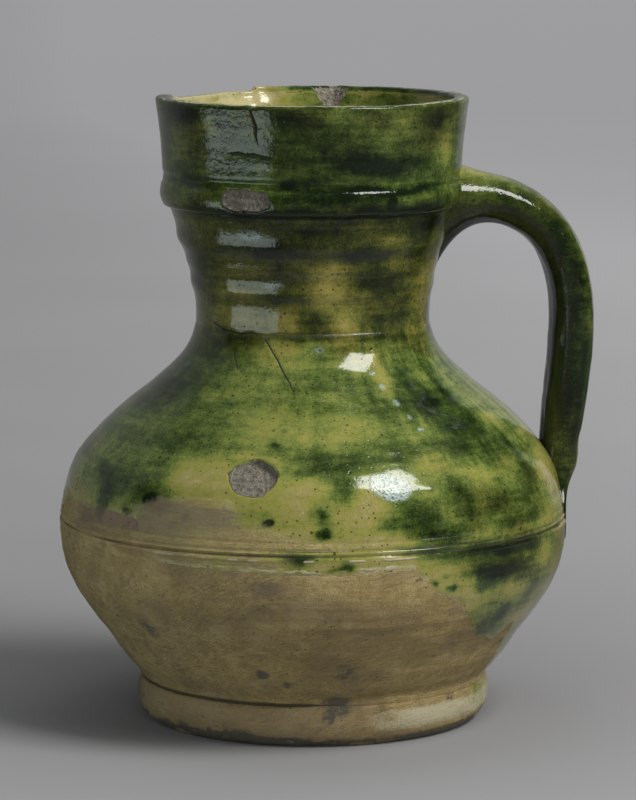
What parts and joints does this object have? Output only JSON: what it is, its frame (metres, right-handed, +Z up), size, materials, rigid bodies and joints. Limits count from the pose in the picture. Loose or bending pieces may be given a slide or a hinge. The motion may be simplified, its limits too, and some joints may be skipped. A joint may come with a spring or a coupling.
{
  "type": "earthenware jug",
  "caption": "Thrown pear-shaped jug with a cordoned neck, a thick strap handle and a low foot, lead-glazed green over buff clay.",
  "frame": {"origin": "middle of the flat underside, on the axis on which the pot was thrown", "axes": "+Z up along the axis to the rim, +X from the axis toward the handle"},
  "size_m": [0.1555, 0.147, 0.18],
  "materials": {
    "buff_clay": "dull, scraped",
    "green_glaze": "glossy",
    "clear_glaze": "glossy"
  },
  "bodies": {
    "root": {"belly": "buff_clay", "neck": "buff_clay", "foot_ring": "buff_clay", "handle": "buff_clay", "upper_handle_pad": "green_glaze", "lower_handle_pad": "green_glaze", "outer_glaze": "green_glaze", "handle_glaze": "green_glaze", "inner_glaze": "clear_glaze", "foot_splash": "green_glaze"}
  },
  "joints": []
}
